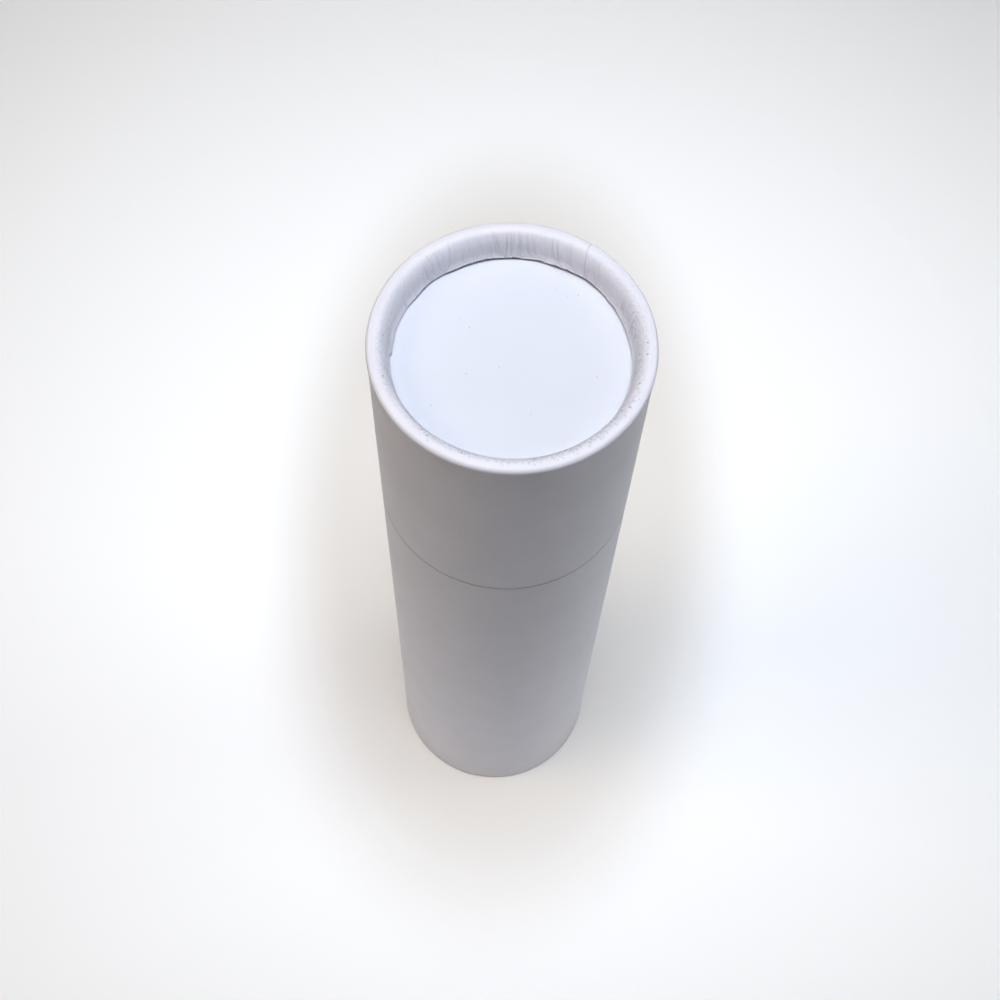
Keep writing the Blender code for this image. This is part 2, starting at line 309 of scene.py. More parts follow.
class Shading:
    """A material being made: its node tree, its colour so far and its surface so far."""

    def __init__(self, name, roughness, specular=0.5):
        self.material = bpy.data.materials.new(name)
        self.material.use_nodes = True
        self.tree = self.material.node_tree
        self.shader = self.tree.nodes["Principled BSDF"]
        self.shader.inputs["Roughness"].default_value = roughness
        self.shader.inputs["Specular IOR Level"].default_value = specular
        self.colour = None
        self.surface = None

    def add(self, kind, inputs=None, **values):
        """A node with its inputs joined to sockets or set to values."""
        node = self.tree.nodes.new(kind)
        for name, value in values.items():
            setattr(node, name, value)
        for key, value in (inputs or {}).items():
            socket = node.inputs[key]
            if isinstance(value, bpy.types.NodeSocket):
                self.tree.links.new(value, socket)
            elif socket.type == "RGBA":
                socket.default_value = (*value, 1)
            else:
                socket.default_value = value
        return node

    def place(self, scale=(1, 1, 1), turn=(0, 0, 0), shift=(0, 0, 0), uv=False):
        """Object coordinates, or the piece's own UV map, stretched, turned and shifted."""
        source = self.add("ShaderNodeTexCoord").outputs["UV" if uv else "Object"]
        values = {"Vector": source, "Location": shift, "Rotation": turn, "Scale": scale}
        return self.add("ShaderNodeMapping", values).outputs["Vector"]

    def noise(self, place, scale, detail=3, roughness=0.5):
        values = {"Vector": place, "Scale": scale, "Detail": detail, "Roughness": roughness}
        return self.add("ShaderNodeTexNoise", values).outputs["Fac"]

    def math(self, operation, *values):
        node = self.add("ShaderNodeMath", dict(enumerate(values)), operation=operation)
        return node.outputs["Value"]

    def times(self, first, second):
        return self.math("MULTIPLY", first, second)

    def ramp(self, value, low, high):
        """Value's run from low to high, as 0 to 1."""
        values = {"Value": value, "From Min": low, "From Max": high}
        node = self.add("ShaderNodeMapRange", values, interpolation_type="SMOOTHSTEP")
        return node.outputs["Result"]

    def distance(self, place):
        return self.add("ShaderNodeVectorMath", {0: place}, operation="LENGTH").outputs["Value"]

    def split(self, vector):
        """The X, Y and Z of a vector."""
        return self.add("ShaderNodeSeparateXYZ", {"Vector": vector}).outputs

    def attribute(self, name):
        return self.add("ShaderNodeAttribute", attribute_name=name).outputs["Fac"]

    def mix(self, share_of_second, first, second):
        """A colour between two, each a socket or a plain colour."""
        values = {0: share_of_second, 6: first, 7: second}
        return self.add("ShaderNodeMix", values, data_type="RGBA").outputs[2]

    def specks(self, place, scale, radius, rarity):
        """Small round spots; rarity, from 0 to 1, is the share of cells left without one."""
        cells = self.add("ShaderNodeTexVoronoi", {"Vector": place, "Scale": scale})
        soft_edge = 0.45
        spot = self.ramp(cells.outputs["Distance"], radius * scale, radius * scale * soft_edge)
        drawn = self.add("ShaderNodeSeparateColor", {"Color": cells.outputs["Color"]})
        return self.times(spot, self.math("GREATER_THAN", drawn.outputs["Red"], rarity))

    def cut_ends(self, low, high):
        """1 on faces turned up or down, such as a board's cut end, and 0 on walls."""
        normal = self.add("ShaderNodeNewGeometry").outputs["True Normal"]
        return self.ramp(self.math("ABSOLUTE", self.split(normal)["Z"]), low, high)

    def weave(self, place, warp, weft):
        """Height, from 0 to 1, of a plain weave with that far from yarn to yarn each way."""
        axes = self.split(place)
        across = self.math("SINE", self.times(axes["X"], pi / warp))
        along = self.math("SINE", self.times(axes["Y"], pi / weft))
        return self.math("MULTIPLY_ADD", self.times(across, along), 0.5, 0.5)

    def tone(self, colour, factor=1):
        """One of the finish colours by name, made darker or lighter by a factor."""
        return tuple(min(1, channel * factor) for channel in getattr(settings()[2], colour))

    def clouded(self, cloud, colour, shade, low=0.3, high=0.7):
        """Starts the colour: a little darker, by shade, where the noise is low."""
        dark, light = self.tone(colour, shade), self.tone(colour)
        self.colour = self.mix(self.ramp(cloud, low, high), dark, light)

    def cover(self, mask, strength, colour, factor=1):
        """Lays another colour over the one so far."""
        self.colour = self.mix(self.times(mask, strength), self.colour, self.tone(colour, factor))

    def rough(self, value, low, high):
        values = {"Value": value, "To Min": low, "To Max": high}
        result = self.add("ShaderNodeMapRange", values).outputs["Result"]
        self.tree.links.new(result, self.shader.inputs["Roughness"])

    def bump(self, value, distance, strength=1.0):
        values = {"Height": value, "Distance": distance, "Strength": strength}
        if self.surface:
            values["Normal"] = self.surface
        self.surface = self.add("ShaderNodeBump", values).outputs["Normal"]

    def finished(self):
        self.tree.links.new(self.colour, self.shader.inputs["Base Color"])
        if self.surface:
            self.tree.links.new(self.surface, self.shader.inputs["Normal"])
        return self.material


def wrap_paper_material():
    """Satin white paper, greyer where it is creased and gritty towards its tucked edge. Much of
    that grey is painted shade: in creases and nicks, along the lip, and in the band past the crest.
    """
    paper = Shading("wrap_paper", roughness=0.5, specular=0.35)
    place = paper.place()
    cloud = paper.noise(place, scale=55, detail=4, roughness=0.6)
    fibre = paper.noise(place, scale=1900, detail=5, roughness=0.65)
    crumple = paper.noise(place, scale=1250, detail=3, roughness=0.75)
    # grit marks a band past the crest: real grit specks in it, and painted shade where it is darkest,
    # in front.
    grit = paper.attribute("grit")
    shaded = paper.times(paper.ramp(crumple, 0.40, 0.62), grit)
    grains = paper.specks(place, scale=620, radius=0.00042, rarity=0.55)
    grains = paper.times(grains, paper.ramp(grit, 0.2, 0.6))
    stray = paper.specks(place, scale=330, radius=0.00022, rarity=0.93)
    paper.clouded(cloud, "wrap", shade=0.965, high=0.72)
    paper.cover(paper.ramp(fibre, 0.55, 0.8), 0.10, "wrap", 0.8)
    # Painted shade: the whole grit band is darkened a little, and the shaded patches in it more.
    paper.cover(grit, 0.10, "crease")
    paper.cover(shaded, 0.34, "crease")
    # Painted shade from the marks on the rolled edge: creases, nicks, the mouth's edge and the lip's
    # contact line.
    paper.cover(paper.attribute("crease"), 0.30, "crease")
    paper.cover(grains, 0.6, "speck")
    paper.cover(stray, 0.55, "speck")
    paper.rough(fibre, 0.44, 0.60)
    paper.bump(cloud, 0.00012, 0.35)
    paper.bump(fibre, 0.00002, 0.6)
    paper.bump(paper.times(crumple, grit), 0.00025)
    return paper.finished()


def disc_paper_material():
    """Smooth white lining with a few fibres in it."""
    paper = Shading("disc_paper", roughness=0.42, specular=0.35)
    place = paper.place()
    cloud = paper.noise(place, scale=38, detail=4, roughness=0.55)
    fibre = paper.noise(place, scale=1500, detail=5, roughness=0.6)
    paper.clouded(cloud, "disc", shade=0.975)
    paper.cover(paper.ramp(fibre, 0.55, 0.8), 0.06, "disc", 0.8)
    stray = paper.specks(place, scale=330, radius=0.00026, rarity=0.86)
    paper.cover(stray, 0.5, "speck")
    paper.rough(fibre, 0.38, 0.52)
    paper.bump(cloud, 0.0001, 0.3)
    paper.bump(fibre, 0.000015, 0.5)
    return paper.finished()


def board_material():
    """Grey recycled board: flecked faces, and ply rings where its end is cut."""
    ply_thickness = 0.00038
    board = Shading("grey_board", roughness=0.9, specular=0.2)
    cloud = board.noise(board.place(), scale=130, detail=5, roughness=0.7)
    fibre = board.noise(board.place(scale=(1, 1, 0.25)), scale=1700, detail=5, roughness=0.7)
    from_axis = board.distance(board.place(scale=(1, 1, 0)))
    rings = board.math("SINE", board.times(from_axis, tau / ply_thickness))
    ply = board.times(board.ramp(rings, 0.2, 0.9), board.cut_ends(0.75, 0.95))
    board.clouded(cloud, "board", shade=0.86, low=0.35)
    board.cover(board.ramp(fibre, 0.56, 0.74), 0.6, "board_fleck")
    board.cover(ply, 0.35, "board", 0.5)
    board.bump(fibre, 0.00005, 0.7)
    board.bump(ply, 0.00006, 0.6)
    return board.finished()


def neck_material():
    """White lined board, with the hairline joint of its spiral winding."""
    winding_pitch = 0.105
    neck = Shading("neck_lining", roughness=0.6, specular=0.3)
    place = neck.place()
    axes = neck.split(place)
    around = neck.math("DIVIDE", neck.math("ARCTAN2", axes["Y"], axes["X"]), tau)
    climb = neck.math("DIVIDE", axes["Z"], winding_pitch)
    turn = neck.math("FRACT", neck.math("ADD", around, climb))
    joint = neck.ramp(neck.math("ABSOLUTE", neck.math("SUBTRACT", turn, 0.5)), 0.0032, 0.0008)
    cloud = neck.noise(place, scale=90, detail=4, roughness=0.6)
    fibre = neck.noise(place, scale=1700, detail=5, roughness=0.65)
    neck.clouded(cloud, "neck", shade=0.95)
    neck.cover(neck.ramp(fibre, 0.55, 0.8), 0.14, "neck", 0.7)
    neck.cover(joint, 0.45, "neck", 0.45)
    neck.cover(neck.cut_ends(0.7, 0.95), 0.9, "board")
    neck.rough(fibre, 0.52, 0.7)
    neck.bump(fibre, 0.00003, 0.6)
    neck.bump(neck.math("SUBTRACT", 1.0, joint), 0.00012, 0.8)
    return neck.finished()


def glass_cloth_material():
    """Woven glass yarn with a soft gleam."""
    cloth = Shading("glass_cloth", roughness=0.55)
    cloth.shader.inputs["Sheen Weight"].default_value = 0.25
    cloth.shader.inputs["Sheen Roughness"].default_value = 0.4
    place = cloth.place(uv=True)
    yarns = cloth.weave(place, warp=0.00062, weft=0.00078)
    along = cloth.place(scale=(1, 0.2, 1), uv=True)
    fibre = cloth.noise(along, scale=2600, detail=4, roughness=0.6)
    cloud = cloth.noise(place, scale=26, detail=4, roughness=0.6)
    cloth.clouded(cloud, "cloth", shade=0.93)
    cloth.cover(cloth.ramp(yarns, 0.45, 0.1), 0.3, "cloth", 0.55)
    cloth.cover(cloth.ramp(fibre, 0.5, 0.75), 0.15, "cloth", 1.2)
    cloth.rough(yarns, 0.68, 0.46)
    cloth.bump(yarns, 0.00016, 0.8)
    cloth.bump(fibre, 0.00003, 0.5)
    return cloth.finished()


def webbing_material():
    """Close woven tape: fine warp lines over the ribs of its mesh."""
    webbing = Shading("webbing", roughness=0.62)
    webbing.shader.inputs["Sheen Weight"].default_value = 0.35
    yarns = webbing.weave(webbing.place(uv=True), warp=0.00055, weft=0.0008)
    along = webbing.place(scale=(0.3, 1, 1), uv=True)
    fibre = webbing.noise(along, scale=3000, detail=4, roughness=0.6)
    dark, light = webbing.tone("webbing", 0.45), webbing.tone("webbing", 1.6)
    webbing.colour = webbing.mix(webbing.ramp(yarns, 0.2, 0.9), dark, light)
    webbing.cover(webbing.ramp(fibre, 0.55, 0.8), 0.35, "webbing", 4)
    webbing.rough(fibre, 0.5, 0.75)
    webbing.bump(yarns, 0.00014, 0.9)
    return webbing.finished()


def thread_material():
    """Twisted thread."""
    thread = Shading("thread", roughness=0.6)
    thread.shader.inputs["Sheen Weight"].default_value = 0.3
    place = thread.place(turn=(0.6, 0.5, 0.7))
    twist = thread.noise(place, scale=2400, detail=2, roughness=0.4)
    thread.clouded(twist, "thread", shade=0.72, low=0.35, high=0.65)
    thread.bump(twist, 0.00012, 0.8)
    return thread.finished()


def floor_material():
    """Pale sweep: warm white round the tube; further out painted light, whiter and glowing; and
    painted shade, a dimmer grey, in the distance.
    """
    _, _, colours, stage = settings()
    floor = Shading("pale_floor", roughness=0.7, specular=0.2)
    place = floor.place()
    floor.clouded(floor.noise(place, scale=5, detail=4, roughness=0.6), "floor", shade=0.985)
    across, along = 1 / stage.pool_width, 1 / stage.pool_depth
    pool = floor.place(scale=(across, along, 1), shift=(0, -stage.pool_back * along, 0))
    fade = floor.ramp(floor.distance(pool), 0.8, 1.3)
    far = floor.distance(floor.place(shift=(0, -stage.sweep_back, 0)))
    far = floor.ramp(far, stage.sweep_radius, 2 * stage.sweep_radius)
    # Painted light: the ring round the pool is whiter and, below, glows with its own light; painted
    # shade: a dimmer grey in the distance.
    floor.colour = floor.mix(fade, floor.colour, colours.floor_lit_edge)
    floor.colour = floor.mix(far, floor.colour, colours.floor_far_shade)
    glow = floor.times(floor.times(fade, floor.math("SUBTRACT", 1.0, far)), stage.floor_glow)
    floor.shader.inputs["Emission Color"].default_value = (1, 1, 1, 1)
    floor.tree.links.new(glow, floor.shader.inputs["Emission Strength"])
    floor.bump(floor.noise(place, scale=900), 0.00002, 0.4)
    return floor.finished()


# Paper and board --------------------------------------------------------------------------------

def rolled_face(inset, mouth, crest, tuck_end, fineness=1.0):
    """One face of a layer: (radius, height, way in from the crest's corner, tilt of the face).

    The way in is that of the outside face, so both faces of a layer move together. The tilt is 0
    on the wall, a quarter turn on the crest and a half turn on the tuck.
    """
    sizes = settings()[0]
    way = 1 if crest > mouth else -1
    root = OUTER_RADIUS - sizes.roll_width
    outer = max(sizes.outer_corner - inset, sizes.least_corner)
    inner = max(sizes.inner_width - inset, sizes.least_corner)
    drop = max(sizes.inner_drop - inset, sizes.least_corner)
    land = sizes.roll_width - sizes.outer_corner - sizes.inner_width
    bend = hypot(sizes.inner_width, sizes.inner_drop) * pi / 2 / sqrt(2)
    corner = crest - way * (inset + outer)
    start = mouth + way * sizes.mouth_edge
    bulge_start = corner - way * sizes.bulge_reach
    face = [(OUTER_RADIUS - inset, mouth, 0, 0)]
    face += [
        (OUTER_RADIUS - inset, start + (bulge_start - start) * part, 0, 0)
        for part in (0, 0.25, 0.5, 0.75)
    ]
    for part in (0, 0.2, 0.4, 0.6, 0.8):
        stand = sizes.bulge * float(smoothstep(part))
        height = bulge_start + (corner - bulge_start) * part
        face.append((OUTER_RADIUS - inset + stand, height, 0, 0))
    steps = ceil(sizes.outer_steps * fineness)
    for step in range(steps + 1):
        turn = pi / 2 * step / steps
        height = crest - way * (inset + outer * (1 - sin(turn)))
        radius = OUTER_RADIUS + sizes.bulge - inset - outer * (1 - cos(turn))
        face.append((radius, height, 0, turn))
    first, last = OUTER_RADIUS + sizes.bulge - inset - outer, root + inset + inner
    for part in (0.25, 0.5, 0.75):
        height = crest - way * (inset - sizes.crown * 4 * part * (1 - part))
        face.append((first + (last - first) * part, height, land * part, pi / 2))
    steps = ceil(sizes.inner_steps * fineness)
    for step in range(steps + 1):
        turn = pi / 2 * step / steps
        height = crest - way * (inset + drop * (1 - cos(turn)))
        tilt = pi / 2 + atan2(drop * sin(turn), inner * cos(turn))
        face.append((last - inner * sin(turn), height, land + bend * step / steps, tilt))
    corner = crest - way * (inset + drop)
    steps = ceil(sizes.tuck_steps * fineness)
    for step in range(1, steps + 1):
        part = step / steps
        height = corner + (tuck_end - corner) * part
        run = land + bend + abs(tuck_end - crest) * part
        face.append((root + inset - sizes.tuck_lean * part, height, run, pi))
    return face


def rolled_layer(name, mouth, crest, disc_face, inset, thickness, columns):
    """A turned layer with a rolled edge, and each vertex's row in the outline that made it."""
    way = 1 if crest > mouth else -1
    tuck_end = disc_face + way * settings()[0].lip_gap
    outline = rolled_face(inset, mouth, crest, tuck_end)
    outline += rolled_face(inset + thickness, mouth, crest, tuck_end, 0.4)[::-1]
    piece = turned(name, [row[:2] for row in outline], columns)
    points = coordinates(piece)
    place = np.stack([np.hypot(points[:, 0], points[:, 1]), points[:, 2]], axis=1)
    known = np.array(outline)
    distance = np.abs(place[:, None, :] - known[None, :, :2]).sum(axis=2)
    return piece, known[distance.argmin(axis=1)]


def from_angle(azimuth, where):
    """How far round the tube each azimuth is from where, from minus to plus half a turn."""
    return (azimuth - where + pi) % tau - pi


def on_side(azimuth, degrees):
    """1 on the side of the tube that faces that way, down to 0 on the opposite side."""
    return 0.5 + 0.5 * np.cos(azimuth - radians(degrees))


class RolledEdge:
    """A wrap's vertices by their place on its rolled edge, while it is creased, nicked and given
    painted shade.

    raised is how far each stands out from the smooth paper; mark is how dark it is, mostly
    painted shade.
    """

    def __init__(self, piece, rows, way, seed):
        self.piece, self.way, self.draw = piece, way, random.Random(seed)
        self.points = coordinates(piece)
        self.radius, self.down, self.tilt = rows[:, 0], rows[:, 2], rows[:, 3]
        self.azimuth = np.arctan2(self.points[:, 1], self.points[:, 0])
        self.part = self.down / self.down.max()
        self.raised, self.mark = np.zeros(len(rows)), np.zeros(len(rows))

    def kinked(self, corners):
        """A kinked line round the tube, from -1 to 1, with that many corners."""
        places = sorted(self.draw.uniform(-pi, pi) for _ in range(corners))
        heights = [self.draw.uniform(-1, 1) for _ in places]
        return np.interp(self.azimuth, places, heights, period=tau)

    def crease(self):
        """Gathers the paper where it is rolled to a smaller radius.

        So creases start past the crest and deepen towards the lip. Some of them crowd together on
        one side, and some fade out before the lip. The middle of each groove is darkened as deep as
        it
        is: painted shade.
        """
        sizes, draw = settings()[0], self.draw
        crowded, crowd, crowd_spread = 0.4, radians(85), radians(30)
        widths, starts, thinness = (0.00012, 0.00027), (0.0, 0.45), 1.6
        leaning, steepest, lean_spread, bow_spread = radians(60), 0.16, 0.05, 5
        fading, fade_places, shoulder_height = 0.35, (0.5, 0.9), 0.55
        for _ in range(sizes.creases):
            where = draw.uniform(-pi, pi)
            if draw.random() < crowded:
                where = draw.gauss(crowd, crowd_spread)
            width = draw.uniform(*widths)
            depth = sizes.crease_depth * draw.random() ** thinness
            start = draw.uniform(*starts)
            slant = steepest * cos(where - leaning) + draw.gauss(0, lean_spread)
            bow = draw.gauss(0, bow_spread)
            offset = from_angle(self.azimuth, where) * self.radius
            offset = offset + slant * self.down + bow * self.down ** 2
            near = np.abs(offset) < 5 * width
            reach = smoothstep((self.part[near] - start) / 0.25)
            if draw.random() < fading:
                reach *= smoothstep((draw.uniform(*fade_places) - self.part[near]) / 0.2)
            x = offset[near] / width
            groove, shoulder = np.exp(-x ** 2), np.exp(-(np.abs(x) - 1.8) ** 2)
            self.raised[near] += depth * reach * (shoulder_height * shoulder - groove)
            # Painted shade: the groove's middle is darkened in step with its depth.
            dark = groove * reach * depth / sizes.crease_depth
            self.mark[near] = np.maximum(self.mark[near], dark)

    def nick(self):
        """Cuts short nicks, most of them in front and on the crest, darkened with painted shade."""
        sizes, draw = settings()[0], self.draw
        front, front_spread, slant_spread = radians(-65), radians(32), 0.9
        places, half_lengths, widths = (0.0002, 0.0026), (0.00015, 0.00055), (0.00013, 0.00020)
        depth, darkness = 0.00005, 1.5
        for _ in range(sizes.nicks):
            where = draw.gauss(front, front_spread)
            place, half_length = draw.uniform(*places), draw.uniform(*half_lengths)
            width = draw.uniform(*widths)
            along = self.down - place
            offset = from_angle(self.azimuth, where) * self.radius
            offset = offset + draw.gauss(0, slant_spread) * along
            reach = smoothstep(1.4 - np.abs(along) / half_length) * (self.down > 0)
            cut = np.exp(-(offset / width) ** 2) * reach
            self.raised -= depth * cut
            # Painted shade in the cut.
            self.mark = np.maximum(self.mark, darkness * cut)

    def lap(self, where):
        """Lays the wrap over itself: a step, and a line along its edge."""
        sizes = settings()[0]
        slanted = self.azimuth + sizes.lap_slant * self.part
        past = from_angle(slanted, where) * self.radius
        step = 0.5 - 0.5 * np.tanh(past / 0.00012)
        step *= smoothstep(1 + past / sizes.lap_width)
        line = np.exp(-(past / 0.00013) ** 2)
        self.raised += sizes.lap_step * (step - (self.down == 0)) - 0.00010 * line
        self.mark = np.maximum(self.mark, 1.5 * line)

    def darken_mouth(self):
        """Darkens the cut edge at the wrap's mouth: its grey core, and painted shade of the seam."""
        heights = self.points[:, 2]
        mouth = heights.min() if self.way > 0 else heights.max()
        at_mouth = np.abs(heights - mouth) < 0.5 * settings()[0].mouth_edge
        self.mark = np.maximum(self.mark, 2.0 * at_mouth)

    def settle(self):
        """Moves the vertices, lifts the far side's lip, and paints a shadow along it, by the disc."""
        radius = self.radius + np.cos(self.tilt) * self.raised
        self.points[:, 0] = radius * np.cos(self.azimuth)
        self.points[:, 1] = radius * np.sin(self.azimuth)
        ragged, far_side = self.kinked(90), on_side(self.azimuth, 50)
        lifted = 0.0001 + (0.0006 + 0.0005 * ragged) * far_side
        lifted *= smoothstep((self.part - 0.85) / 0.15)
        self.points[:, 2] += self.way * (np.sin(self.tilt) * self.raised + lifted)
        if self.way < 0:
            self.points[:, 2] = np.maximum(self.points[:, 2], 0)
        # Painted shadow: the lowest tenth of the tuck is darkened on the far side, as the contact
        # shade where the lip meets the disc.
        shaded = (1.3 + 0.9 * ragged) * far_side * smoothstep((self.part - 0.90) / 0.10)
        self.mark = np.maximum(self.mark, shaded)
        place_vertices(self.piece, self.points)

    def grit_and_shade(self):
        """Grit and painted shade, 0 to 1: a band past the crest's corner, most of it in front."""
        band = smoothstep((self.down - 0.0005) / 0.0010)
        band = band * (1 - 0.8 * smoothstep((self.part - 0.45) / 0.25))
        return band * (0.10 + 0.90 * on_side(self.azimuth, 280))


def crease_paper(piece, rows, way, lap, seed):
    """Presses creases, nicks, a kinked lip and the wrap's overlap into a rolled edge, with painted
    shade.
    """
    sizes = settings()[0]
    edge = RolledEdge(piece, rows, way, seed)
    edge.crease()
    edge.nick()
    edge.raised += sizes.lip_wobble * edge.kinked(sizes.lip_kinks) * smoothstep(edge.part) ** 1.5
    edge.lap(lap)
    edge.darken_mouth()
    edge.settle()
    point_attribute(piece, "crease", edge.mark)
    point_attribute(piece, "grit", edge.grit_and_shade())


def rounded_ring(inner, outer, low, high, rounding, steps=3):
    """Outline of a tube's wall with rounded cut edges."""
    return (
        arc(outer - rounding, high - rounding, rounding, 0, 90, steps)
        + arc(inner + rounding, high - rounding, rounding, 90, 180, steps)
        + arc(inner + rounding, low + rounding, rounding, 180, 270, steps)
        + arc(outer - rounding, low + rounding, rounding, 270, 360, steps)
    )


class TUBE_OT_paper_wraps(bpy.types.Operator):
    """Makes the white paper of the cap and the body, over the creased rim and foot"""

    bl_idname = "tube.paper_wraps"
    bl_label = "Paper wraps"

    def execute(self, context):
        sizes = settings()[0]
        material = wrap_paper_material()
        for name, (mouth, crest, disc_face), way, lap, seed, body, node in (
            ("cap_paper", CAP_END, 1, sizes.cap_lap, 7, "cap", "cap_wrap"),
            ("body_paper", BODY_END, -1, sizes.body_lap, 12, "tube", "body_wrap"),
        ):
            if way < 0:
                mouth -= sizes.mouth_relief
            piece, rows = rolled_layer(name, mouth, crest, disc_face, 0, sizes.paper, sizes.columns)
            crease_paper(piece, rows, way, lap, seed)
            smooth(piece, 50)
            finish(piece, material, "white_paper", body, node)
        return {"FINISHED"}


class TUBE_OT_boards(bpy.types.Operator):
    """Makes the wound board of the cap and the body, and the neck that the cap slides on"""

    bl_idname = "tube.boards"
    bl_label = "Board walls"

    def execute(self, context):
        sizes = settings()[0]
        material = board_material()
        inset = OUTER_RADIUS - BOARD_RADIUS
        for name, end, body, node in (
            ("cap_board", CAP_END, "cap", "cap_sleeve"),
            ("body_board", BODY_END, "tube", "body_sleeve"),
        ):
            piece, _ = rolled_layer(name, *end, inset, sizes.board, sizes.board_columns)
            smooth(piece)
            finish(piece, material, "grey_board", body, node)
        outline = rounded_ring(
            neck_bore(), NECK_HIGH.x, NECK_LOW.z, NECK_HIGH.z, sizes.board_round
        )
        neck = turned("neck", outline, sizes.board_columns)
        smooth(neck)
        finish(neck, neck_material(), "neck_board", "tube", "neck_sleeve")
        return {"FINISHED"}


def neck_bore():
    """The neck's inner radius, read from its solid."""
    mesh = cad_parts["neck_sleeve"].data
    return min(hypot(vertex.co.x, vertex.co.y) for vertex in mesh.vertices)


def dished_disc(edge, low, high, way):
    """Outline of an end disc, from the centre of its face to that of its back.

    The press leaves it faintly hollow, with a ridge at four fifths of its radius and a groove
    outside that.
    """
    dips = (
        (0, 0.00016), (0.12, 0.00016), (0.35, 0.00014), (0.55, 0.00010), (0.68, 0.00006),
        (0.745, 0.00003), (0.785, 0.00000), (0.815, 0.00004), (0.85, 0.00014),
        (0.885, 0.00022), (0.92, 0.00022), (0.96, 0.00012), (0.985, 0.00010),
    )
    face, back = (high, low) if way > 0 else (low, high)
    outline = [(edge * part, face - way * dip) for part, dip in dips]
    outline += [(edge - 0.0001, face - way * 0.00010), (edge, face - way * 0.0002)]
    return outline + [(edge, back + way * 0.0001), (edge - 0.0001, back), (0, back)]


def plain_disc(edge, low, high, _way):
    """Outline of a flat disc with a rounded edge, from the centre of its top to its foot's."""
    rounding = 0.0002
    outline = [(0, high), (edge * 0.5, high)]
    outline += arc(edge - rounding, high - rounding, rounding, 90, 0, 3)
    outline += arc(edge - rounding, low + rounding, rounding, 0, -90, 3)
    return outline + [(edge * 0.5, low), (0, low)]


class TUBE_OT_discs(bpy.types.Operator):
    """Makes the end discs, faintly dished by the press, and the grey discs behind them"""

    bl_idname = "tube.discs"
    bl_label = "Discs"

    def execute(self, context):
        white = (disc_paper_material(), "white_board", dished_disc)
        grey = (board_material(), "grey_board", plain_disc)
        for name, (material, slot, outline), way, body, node in (
            ("cap_disc", white, 1, "cap", "cap_end_disc"),
            ("base_disc", white, -1, "tube", "base_end_disc"),
            ("cap_backing", grey, 1, "cap", "cap_backing_disc"),
            ("base_backing", grey, -1, "tube", "base_backing_disc"),
        ):
            low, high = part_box(node)
            columns = settings()[0].board_columns
            piece = turned(name, outline(high.x, low.z, high.z, way), columns, closed=False)
            smooth(piece)
            finish(piece, material, slot, body, node)
        return {"FINISHED"}


# The blanket ------------------------------------------------------------------------------------

def wander(*place):
    """Smooth noise from -1 to 1."""
    return noise.noise(Vector(place))


def roll_turns():
    """Turns of the spiral that takes up the cloth's length."""
    sizes = settings()[1]
    outer = BLANKET_RADIUS - sizes.stack / 2
    inner = sqrt(outer ** 2 - sizes.cloth_side * sizes.stack / pi) - sizes.stack / 2
    return (BLANKET_RADIUS - sizes.stack - inner) / sizes.stack


def cloth_section():
    """The folded cloth's cross-section: (layer, height share, side step) for each of its points.

    The cloth runs up and down from panel to panel, and turns over in a small loop at each end.
    """
    sizes = settings()[1]
    section = []
    for panel in range(sizes.panels):
        shares = [0, 0.04, 0.2, 0.4, 0.6, 0.8, 0.96, 1]
        if panel % 2:
            shares.reverse()
        section += [(panel, share_up, 0) for share_up in shares]
        if panel < sizes.panels - 1:
            for turn in (0.25, 0.5, 0.75):
                section.append((panel + 0.5 - 0.5 * cos(pi * turn), shares[-1], sin(pi * turn)))
    return section


def tape_gap(x, y):
    """How far the folds sink where the tapes enter the roll, as a share from 0 to 1."""
    sunk, dent_reach = 0, 0.0034
    for side in (-1, 1):
        root = side * abs(TAPE_HIGH.x)
        middle = side * (TAPE_LOW.y + TAPE_HIGH.y) / 2
        across = abs(y - middle) / (TAPE_HIGH.y - TAPE_LOW.y)
        along = abs(x - root) / dent_reach
        sunk = max(sunk, float(smoothstep((0.72 - across) / 0.2) * smoothstep(1.3 - along)))
    return sunk


def closed_sheet(name, points, uvs, rows, width):
    """A sheet with a thickness: rows of that many points on its first face, then its second.

    The UV map is in metres.
    """
    faces = []

    def at(row, side, index):
        return (2 * row + side) * width + index

    for j in range(rows - 1):
        for i in range(width - 1):
            faces.append((at(j, 0, i), at(j + 1, 0, i), at(j + 1, 0, i + 1), at(j, 0, i + 1)))
            faces.append((at(j, 1, i), at(j, 1, i + 1), at(j + 1, 1, i + 1), at(j + 1, 1, i)))
        for i, a, b in ((0, 0, 1), (width - 1, 1, 0)):
            faces.append((at(j, a, i), at(j, b, i), at(j + 1, b, i), at(j + 1, a, i)))
    for j, a, b in ((0, 0, 1), (rows - 1, 1, 0)):
        for i in range(width - 1):
            faces.append((at(j, a, i), at(j, a, i + 1), at(j, b, i + 1), at(j, b, i)))
    piece = from_faces(name, points, faces)
    layer = piece.data.uv_layers.new(name="UVMap")
    corner = np.empty(len(piece.data.loops), dtype=np.int32)
    piece.data.loops.foreach_get("vertex_index", corner)
    layer.data.foreach_set("uv", np.array(uvs)[corner].ravel())
    bpy.ops.object.mode_set(mode="EDIT")
    bpy.ops.mesh.select_all(action="SELECT")
    bpy.ops.mesh.normals_make_consistent(inside=False)
    bpy.ops.object.mode_set(mode="OBJECT")
    smooth(piece, 60)
    return piece


def run_along(path):
    """How far along a path each of its points lies."""
    return np.concatenate([[0], np.cumsum(np.linalg.norm(np.diff(path, axis=0), axis=1))])


def left_of(path):
    """The way to the left of a path at each of its points."""
    tangent = np.gradient(path, axis=0)
    tangent /= np.linalg.norm(tangent, axis=1)[:, None]
    return np.stack([-tangent[:, 1], tangent[:, 0]], axis=1)


